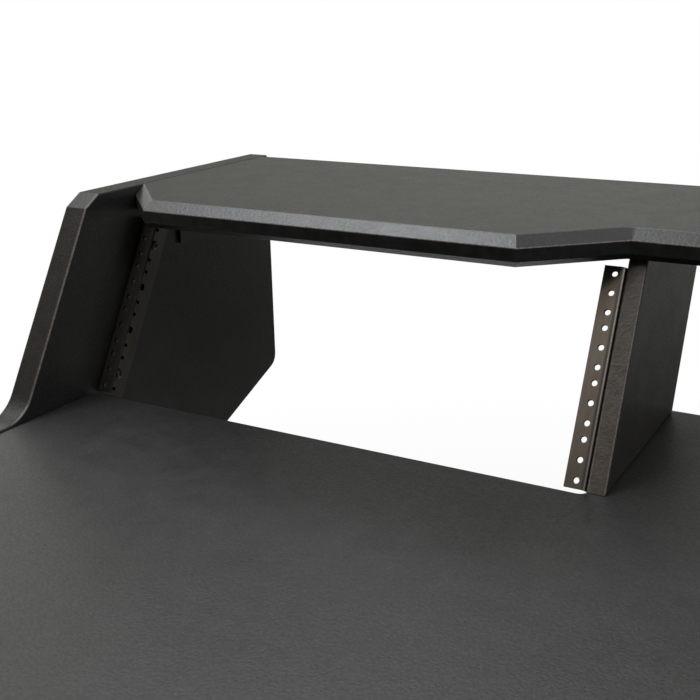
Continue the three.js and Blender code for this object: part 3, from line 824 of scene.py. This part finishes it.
def pan_screw(length):
    """A screw along +Z with the seat of its head at zero. The dome of the head is a quarter ellipse of
    height over radius, the recess falls from the cross's outline to a smaller one, and the thread is a
    ripple of the shank's radius along the screw that advances by one pitch each turn."""
    cross = cross_outline(recess_arm, recess_width)
    rise = np.linspace(0, pi / 2, dome_steps)[:, None]
    dome_radius = dome_start + (head_radius - dome_start) * np.sin(rise)
    dome_height = dome_drop * (1 - np.cos(rise)) - head_height
    along = np.linspace(thread_margin, length - thread_margin, thread_steps)[:, None]
    turn = np.linspace(0, 2 * pi, screw_sides, endpoint=False)
    ripple = abs(((along / thread_pitch - turn / (2 * pi)) % 1) - 0.5)
    taper = np.clip((length - along) / tip_length, tip_share, 1)
    shank = shank_radius * taper * (1 - 0.5 * ripple)
    radius = np.concatenate([
        [cross * 0.3, cross * 0.55, cross],
        np.broadcast_to(dome_radius, (dome_steps, screw_sides)),
        np.broadcast_to([[head_radius], [head_radius * 0.97], [shank_radius]], (3, screw_sides)),
        shank,
        np.full((1, screw_sides), shank_radius * 0.1),
    ])
    height = np.concatenate([
        [[recess_floor - head_height], [recess_floor * 0.9 - head_height], [-head_height]],
        dome_height,
        [[-seat_round], [0], [0]],
        along,
        [[length]],
    ])
    height = np.broadcast_to(height, radius.shape)
    return turned_points(radius, height, screw_sides), turned_faces(len(radius), screw_sides)


def set_along(points, head, way):
    """Points of a turned piece moved to its place, with its Z axis laid along a direction."""
    first = unit(np.cross([0.0, 1.0, 0.0], way))
    second = np.cross(way, first)
    return head + points @ np.stack([first, second, way])


def head_end(node, way):
    """Where the axis of a screw leaves its box on the side that it is driven from."""
    low, high = (np.array(corner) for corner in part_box(node))
    return (low + high) / 2 - way * abs((high - low) @ way) / 2


def keep_crisp(piece, degrees):
    """Marks the edges that turn by more than the angle as crisp."""
    piece.data.set_sharp_from_angle(angle=radians(degrees))


def blackened_steel(name, tones, roughness):
    """Blackened steel: nearly even, with faint patches where the oil dried and fine scratches."""
    material, root = new_material(name)
    patch = noise(root, 300, detail=3).between(0.3, 0.7)
    scratch = noise(root, 1600, detail=2, stretch=(1, 1, 0.3)).between(0.35, 0.65)
    bump = root.node("Bump", {}, {"Height": scratch, "Strength": 0.2, "Distance": 0.00005})
    surface(
        root,
        Base_Color=two_tone(patch * 0.6 + scratch * 0.4, tones),
        Metallic=0.9,
        Roughness=roughness + 0.12 * patch,
        Normal=bump,
    )
    return material


screw_blacks = (0.04, 0.038, 0.036), (0.085, 0.081, 0.077)
screw_black = blackened_steel("screw_black", screw_blacks, roughness=0.36)


def add_screw(node, direction):
    """A pan head screw in the place of a CAD node."""
    low, high = (np.array(corner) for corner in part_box(node))
    way = np.array(direction, float)
    points, faces = pan_screw(abs((high - low) @ way) - head_height)
    shape = (set_along(points, head_end(node, way) + way * head_height, way), faces, None)
    name = node.replace("screw", "pan_screw")
    keep_crisp(add_piece(name, shape, screw_black, "desk", "screw_steel", node), 40)


for side, side_name in hands:
    for place in ("lower", "upper"):
        add_screw(f"rail_screw_{side_name}_outer_{place}", (side, 0, 0))
        add_screw(f"rail_screw_{side_name}_inner_{place}", (-side, 0, 0))
    for place in ("front", "rear"):
        for board in ("shelf", "desk"):
            add_screw(f"{board}_angle_panel_screw_{side_name}_{place}", (side, 0, 0))
            add_screw(f"{board}_angle_board_screw_{side_name}_{place}", (0, 0, 1))
        add_screw(f"divider_screw_{side_name}_{place}", (0, 0, 1))

# Stretcher screws. Long connecting screws with a flat round head and a hexagon socket, driven through
# the side panels until the head lies just under the lacquered face.
socket_across = 0.0025
socket_depth = 0.0022
bolt_head_radius = 0.005
bolt_head_height = 0.003
bolt_radius = 0.0032
bolt_edge = 0.0004
bolt_tip = 0.001
socket_lip = 0.0002


def hexagon(across):
    """Radius of a hexagon at each angle, for half its width across the flats."""
    turn = np.linspace(0, 2 * pi, screw_sides, endpoint=False)
    return across / np.cos((turn + pi / 6) % (pi / 3) - pi / 6)


def socket_screw(length):
    """A screw along +Z from the top of its head. The rings go out from the socket's floor over the
    head's face to its rim, with a small chamfer, and then down the plain shank."""
    hexa = hexagon(socket_across)
    around = np.ones(screw_sides)
    radius = np.stack([
        hexa * 0.4,
        hexa,
        hexa,
        hexa * 1.08,
        around * (bolt_head_radius - bolt_edge),
        around * bolt_head_radius,
        around * bolt_head_radius,
        around * bolt_radius,
        around * bolt_radius,
        around * bolt_radius * 0.6,
    ])
    height = np.array([
        socket_depth, socket_depth, socket_lip, 0, 0, bolt_edge,
        bolt_head_height, bolt_head_height, length - bolt_tip, length,
    ])[:, None] * around
    return turned_points(radius, height, screw_sides), turned_faces(len(radius), screw_sides)


for (side, side_name), place in product(hands, ("upper", "lower")):
    node = f"stretcher_screw_{side_name}_{place}"
    low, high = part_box(node)
    way = np.array([-side, 0.0, 0.0])
    points, faces = socket_screw(high.x - low.x)
    shape = (set_along(points, head_end(node, way), way), faces, None)
    name = f"stretcher_bolt_{side_name}_{place}"
    keep_crisp(add_piece(name, shape, screw_black, "desk", "screw_steel", node), 35)

# Dowels. Short fluted pegs of beech, glued into the dividers and the shelf. They don't show once the
# desk is put together.
dowel_flutes = 12
dowel_sides = 96
flute_share = 0.06
dowel_taper_share = 0.03
dowel_tip_share = 0.72
beech_browns = (0.56, 0.37, 0.20), (0.40, 0.24, 0.12)


def beech():
    """Beech: long pale grain with darker pores along the peg."""
    material, root = new_material("beech")
    grain = noise(root, 500, detail=4, stretch=(1, 1, 0.08)).between(0.35, 0.7)
    bump = root.node("Bump", {}, {"Height": grain, "Strength": 0.3, "Distance": 0.0001})
    surface(
        root,
        Base_Color=two_tone(grain, beech_browns),
        Roughness=0.75 - 0.1 * grain,
        Normal=bump,
    )
    return material


def fluted_dowel(radius, length):
    """A peg with tapered ends. Its radius drops in each flute by the fourth power of a cosine of the
    angle."""
    share = np.array([0, dowel_taper_share, 1 - dowel_taper_share, 1])[:, None]
    turn = np.linspace(0, 2 * pi, dowel_sides, endpoint=False)
    flute = 1 - flute_share * (0.5 + 0.5 * np.cos(dowel_flutes * turn)) ** 2
    taper = np.array([dowel_tip_share, 1, 1, dowel_tip_share])[:, None]
    points = turned_points(radius * taper * flute, share * length + 0 * turn, dowel_sides)
    return points, turned_faces(len(share), dowel_sides)


beech_wood = beech()
for (_, side_name), place in product(hands, ("front", "rear")):
    node = f"shelf_dowel_{side_name}_{place}"
    low, high = (np.array(corner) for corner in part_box(node))
    points, faces = fluted_dowel((high[0] - low[0]) / 2, high[2] - low[2])
    shape = (points + ((low + high) / 2 * (1, 1, 0) + low * (0, 0, 1)), faces, None)
    name = f"beech_dowel_{side_name}_{place}"
    keep_crisp(add_piece(name, shape, beech_wood, "desk", "dowel_wood", node), 40)

# Levelling feet. A threaded insert sits in the foot edge of each panel, flush under it, and a foot on a
# steel stud screws into it. The foot is a moulded plastic pad whose collar is ribbed for the fingers.
foot_sides = 96
rib_count = 24
rib_depth = 0.0005
pad_height = 0.005
pad_radius = 0.012
pad_rim = 0.0035
pad_edge = 0.0008
pad_top_edge = 0.0006
collar_radius = 0.007
collar_edge = 0.0004
cone_height = 0.004
stud_hole = 0.0036
stud_radius = 0.004
stud_pitch = 0.00125
stud_point = 0.0009
stud_point_length = 0.0012
pitch_rows = 8
thread_depth = 0.0006
insert_radius = 0.0065
insert_length = 0.026
fin_count = 9
fin_depth = 0.0009
fin_rows = 60
flange_radius = 0.010
flange_thick = 0.0015
flange_edge = 0.0003
bore_edge = 0.0006
bore_radius = stud_radius + fit_gap
collar_top = foot_height - 2 * fit_gap - flange_thick
plastic_blacks = (0.010, 0.010, 0.011), (0.030, 0.030, 0.031)
zinc_greys = (0.42, 0.41, 0.39), (0.60, 0.59, 0.57)


def moulded_plastic():
    """Matt black plastic with the fine grain of an eroded mould."""
    material, root = new_material("foot_moulding")
    grain = noise(root, 1500, detail=3).between(0.3, 0.7)
    scuff = noise(root, 120, detail=3).between(0.45, 0.75)
    bump = root.node("Bump", {}, {"Height": grain, "Strength": 0.35, "Distance": 0.00008})
    surface(
        root,
        Base_Color=two_tone(scuff * 0.7 + grain * 0.3, plastic_blacks),
        Roughness=0.6 - 0.1 * scuff,
        Normal=bump,
    )
    return material


foot_moulding = moulded_plastic()
zinc_steel = blackened_steel("zinc_steel", zinc_greys, roughness=0.28)


def foot_pad():
    """The pad, its cone and its ribbed collar. The collar's radius drops by the depth of a rib between
    the ribs, as the square of a sine of the angle."""
    turn = np.linspace(0, 2 * pi, foot_sides, endpoint=False)
    ribs = np.sin(rib_count / 2 * turn) ** 2 * rib_depth
    radius = np.array([
        pad_radius - pad_rim, pad_radius - pad_edge, pad_radius, pad_radius, pad_radius - pad_top_edge,
        collar_radius + pad_top_edge, collar_radius, collar_radius, collar_radius - collar_edge,
        stud_hole,
    ])[:, None]
    ribbed = np.array([0, 0, 0, 0, 0, 0, 1, 1, 1, 0])[:, None]
    cone_top = pad_height + cone_height
    height = np.array([
        0, 0, pad_edge, pad_height - pad_top_edge, pad_height,
        cone_top - collar_edge, cone_top, collar_top - collar_edge, collar_top, collar_top,
    ])[:, None]
    points = turned_points(radius - ribbed * ribs, height + 0 * turn, foot_sides)
    return points, turned_faces(len(radius), foot_sides)


def threaded_stud(low, high):
    """The stud: its radius ripples between crest and root and advances by one pitch each turn, and it
    ends in a chamfer."""
    rows = int((high - low) / stud_pitch * pitch_rows)
    height = np.linspace(low, high, rows)[:, None]
    turn = np.linspace(0, 2 * pi, screw_sides, endpoint=False)
    ripple = 2 * abs(((height / stud_pitch - turn / (2 * pi)) % 1) - 0.5)
    past_chamfer = np.clip((high - height) / stud_point_length, 0, 1)
    radius = stud_radius - thread_depth * ripple - stud_point * (1 - past_chamfer)
    return turned_points(radius, height, screw_sides), turned_faces(rows, screw_sides)


def threaded_insert(low):
    """The insert is a ring: its section runs up the outside, where fins grip the wood, over the top and
    down the bore, and closes on itself."""
    turn = np.linspace(0, 2 * pi, screw_sides, endpoint=False)
    fins = np.linspace(0, 1, fin_rows)[:, None]
    outside = insert_radius - fin_depth * 2 * abs(((fins * fin_count - turn / (2 * pi)) % 1) - 0.5)
    around = np.ones((1, screw_sides))
    radius = np.concatenate([
        bore_radius * around,
        (flange_radius - flange_edge) * around,
        flange_radius * around,
        flange_radius * around,
        outside,
        (bore_radius + bore_edge) * around,
        bore_radius * around,
    ])
    height = np.concatenate([
        [0], [0], [flange_edge], [flange_thick],
        flange_thick + fins[:, 0] * insert_length,
        [flange_thick + insert_length], [flange_thick + insert_length - bore_edge],
    ])[:, None] + 0 * turn + low
    rings = len(radius)
    corner = np.arange(rings * screw_sides).reshape(rings, screw_sides)
    quads = np.stack(
        [corner, np.roll(corner, -1, 1), np.roll(corner, (-1, -1), (0, 1)), np.roll(corner, -1, 0)], 2
    )
    return turned_points(radius, height, screw_sides), quads.reshape(-1, 4).tolist()


def add_turned(name, shape, place, finish, body, slot, node):
    """A turned piece of a foot, moved sideways to its place."""
    points, faces = shape
    keep_crisp(add_piece(name, (points + place, faces, None), finish, body, slot, node), 50)


for (_, side_name), place in product(hands, ("front", "rear")):
    corner = f"{side_name}_{place}"
    foot, insert, body = f"levelling_foot_{corner}", f"foot_insert_{corner}", f"foot_{corner}"
    low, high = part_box(foot)
    x, y, _ = middle(foot)
    stud = threaded_stud(collar_top, high.z)
    thread = threaded_insert(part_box(insert)[0].z)
    at_low, at_zero = (x, y, low.z), (x, y, 0)
    add_turned(f"foot_pad_{corner}", foot_pad(), at_low, foot_moulding, body, "foot_plastic", foot)
    add_turned(f"foot_stud_{corner}", stud, at_zero, zinc_steel, body, "insert_steel", foot)
    add_turned(f"threaded_insert_{corner}", thread, at_zero, zinc_steel, "desk", "insert_steel", insert)

# Floor. A wide sheet of grey paint that shows as white. Close to the desk a little of the paint is left
# to see, so that the desk's soft shadow stays.
floor_reach = 9.0
shadow_reach, white_reach = 1.2, 2.6
near_white = 0.90
floor_grey = 0.28
white = (1, 1, 1, 1)


def shown_white(root):
    """One for rays that show the surroundings as they are: from the camera, a gloss or glass."""
    rays = [
        root.node("LightPath", {}, {}, output=output)
        for output in ("Is Camera Ray", "Is Glossy Ray", "Is Transmission Ray")
    ]
    return root.math("MAXIMUM", root.math("MAXIMUM", rays[0], rays[1]), rays[2])


def floor_paint():
    """Grey paint under a white glow, whose share grows to the whole with the distance from the desk."""
    material, root = new_material("floor_paint")
    matt = root.node("BsdfDiffuse", {}, {"Color": (floor_grey, floor_grey, floor_grey, 1)})
    glow = root.node("Emission", {}, {"Color": white, "Strength": 1.0})
    place = root.node("TexCoord", {}, {}, output="Object")
    distance = root.node("VectorMath", {"operation": "LENGTH"}, {0: place}, output="Value")
    white_share = near_white + distance.between(shadow_reach, white_reach) * (1 - near_white)
    paint = root.node("MixShader", {}, {0: shown_white(root) * white_share, 1: matt, 2: glow})
    root.node("OutputMaterial", {}, {"Surface": paint})
    return material


def add_stage(name, corners, finish):
    """A flat sheet of the set, which isn't part of the object."""
    mesh = bpy.data.meshes.new(name)
    mesh.from_pydata(corners, [], [range(4)])
    mesh.materials.append(finish)
    sheet = bpy.data.objects.new(name, mesh)
    bpy.context.collection.objects.link(sheet)
    return sheet


floor_corners = [(x * floor_reach, y * floor_reach, 0) for x, y in ((-1, -1), (1, -1), (1, 1), (-1, 1))]
add_stage("floor", floor_corners, floor_paint())

# Studio. The desk stands in a ring of cloth screens, open above to a white ceiling. The right screen is
# black, the front one turns from black to brown as it rises, and the others are grey, darker at the foot
# behind the desk's right half. The camera sees past them and past the dark cloths that lie below them.
ceiling_light = 0.50
screen_height = 3.4
screen_left, screen_right, screen_front, screen_back = -3.0, 3.2, -2.6, 2.4
screen_split = -0.4
world = bpy.data.worlds.new("studio")
world.use_nodes = True
world.node_tree.nodes.clear()
root = Shade(world.node_tree)
dim = root.node("Background", {}, {"Color": white, "Strength": ceiling_light})
bright = root.node("Background", {}, {"Color": white, "Strength": 1.0})
seen = root.node("MixShader", {}, {0: shown_white(root), 1: dim, 2: bright})
root.node("OutputWorld", {}, {"Surface": seen})
bpy.context.scene.world = world


def cloth(name, low_colour, high_colour, low, high):
    """Matt cloth whose colour changes with height, between two heights."""
    material, root = new_material(name)
    place = root.node("TexCoord", {}, {}, output="Object")
    height = root.node("SeparateXYZ", {}, {0: place}, output=2).between(low, high)
    matt = root.node("BsdfDiffuse", {}, {"Color": two_tone(height, (low_colour, high_colour))})
    root.node("OutputMaterial", {}, {"Surface": matt})
    return material


black_cloth = cloth("black_cloth", (0.015, 0.015, 0.016), (0.02, 0.02, 0.02), 0, 3)
brown_cloth = cloth("brown_cloth", (0.012, 0.012, 0.012), (0.30, 0.22, 0.17), 1.0, 2.4)
grey_cloth = cloth("grey_cloth", (0.71, 0.70, 0.65), (0.75, 0.74, 0.68), 0, 3)
dim_cloth = cloth("dim_cloth", (0.16, 0.16, 0.15), (0.58, 0.58, 0.54), 0, 0.35)
for name, finish, start_x, start_y, end_x, end_y in (
    ("screen_front", brown_cloth, screen_left, screen_front, screen_right, screen_front),
    ("screen_right", black_cloth, screen_right, screen_front, screen_right, screen_back),
    ("screen_back_right", dim_cloth, screen_split, screen_back, screen_right, screen_back),
    ("screen_back_left", grey_cloth, screen_left, screen_back, screen_split, screen_back),
    ("screen_left", grey_cloth, screen_left, screen_front, screen_left, screen_back),
):
    foot = [(start_x, start_y, 0), (end_x, end_y, 0)]
    head = [(end_x, end_y, screen_height), (start_x, start_y, screen_height)]
    add_stage(name, foot + head, finish).visible_camera = False

# Lying cloths keep the white floor out of the gloss of upright faces.
cloth_height = 0.002
cloth_gap = 0.9
for name, finish, low_x, high_x, low_y, high_y in (
    ("cloth_front", black_cloth, screen_left, screen_right, screen_front, -cloth_gap),
    ("cloth_back", dim_cloth, screen_split, screen_right, cloth_gap, screen_back),
):
    corners = [(low_x, low_y), (high_x, low_y), (high_x, high_y), (low_x, high_y)]
    sheet = add_stage(name, [(x, y, cloth_height) for x, y in corners], finish)
    sheet.visible_camera = False
    sheet.visible_diffuse = False
    sheet.visible_shadow = False

# Lamps. Two wide soft boxes hang over the left of the desk, where its bevels show them, and two small
# ones on its right light what faces that way. Two warm ones before it show in the gloss of the rails,
# and a low one behind it on the left grazes the shelf.


def soft_box(name, place, target, width, depth, power, colour=(1, 1, 1)):
    """A rectangular lamp at a place, turned to a target."""
    lamp = bpy.data.lights.new(name, "AREA")
    lamp.shape = "RECTANGLE"
    lamp.color = colour
    lamp.size, lamp.size_y, lamp.energy = width, depth, power
    box = bpy.data.objects.new(name, lamp)
    box.location = place
    box.rotation_euler = (Vector(target) - box.location).to_track_quat("-Z", "Y").to_euler()
    box.visible_camera = False
    bpy.context.collection.objects.link(box)


soft_box(
    "soft_box_left", place=(-1.42, -0.72, 3.0), target=(-0.5, 0.1, 0.85),
    width=1.0, depth=1.1, power=25, colour=(0.91, 0.985, 1.0),
)
soft_box(
    "soft_box_over", place=(-1.15, 0.55, 2.6), target=(-0.5, 0.1, 0.85),
    width=2.2, depth=1.3, power=20, colour=(0.97, 0.99, 1.0),
)
soft_box(
    "soft_box_right", place=(1.26, -0.56, 2.9), target=(-0.3, 0.1, 0.85),
    width=0.6, depth=0.6, power=2.0,
)
soft_box(
    "soft_box_low_right", place=(2.0, -0.9, 2.13), target=(-0.6, 0.1, 0.9),
    width=0.6, depth=0.6, power=11,
)
soft_box(
    "soft_box_warm", place=(-1.7, -1.95, 2.7), target=(-0.29, 0.15, 0.85),
    width=1.0, depth=1.2, power=3.6, colour=(1.0, 0.78, 0.58),
)
soft_box(
    "soft_box_rail", place=(-1.0, -1.95, 2.8), target=(-0.28, 0.15, 0.85),
    width=0.45, depth=0.4, power=1.3, colour=(1.0, 0.80, 0.62),
)
soft_box(
    "soft_box_low_left", place=(-2.85, 1.45, 1.6), target=(-0.7, 0.15, 0.94),
    width=0.9, depth=0.8, power=2.7, colour=(1.0, 0.96, 0.92),
)

# Camera. It stands before the middle of the desk and looks down over the worktop to the left rear
# corner, as in the photograph. The focal length and the point straight ahead are in its pixels.
picture = 700
sensor_width = 36
focal_pixels = 1151.72
picture_centre = (302.09, 260.91)
camera_place = (-0.04947, -0.70570, 1.12391)
camera_turn = radians(31.045)
camera_dip = radians(12.937)
camera_roll = radians(-0.884)
lens = bpy.data.cameras.new("camera")
lens.sensor_width = sensor_width
lens.lens = sensor_width * focal_pixels / picture
lens.shift_x = (picture / 2 - picture_centre[0]) / picture
lens.shift_y = (picture_centre[1] - picture / 2) / picture
camera = bpy.data.objects.new("camera", lens)
aim = Euler((pi / 2 - camera_dip, 0, camera_turn)).to_matrix() @ Matrix.Rotation(camera_roll, 3, "Z")
camera.rotation_euler = aim.to_euler()
camera.location = camera_place
bpy.context.collection.objects.link(camera)
bpy.context.scene.camera = camera
bpy.context.scene.view_settings.view_transform = "Standard"
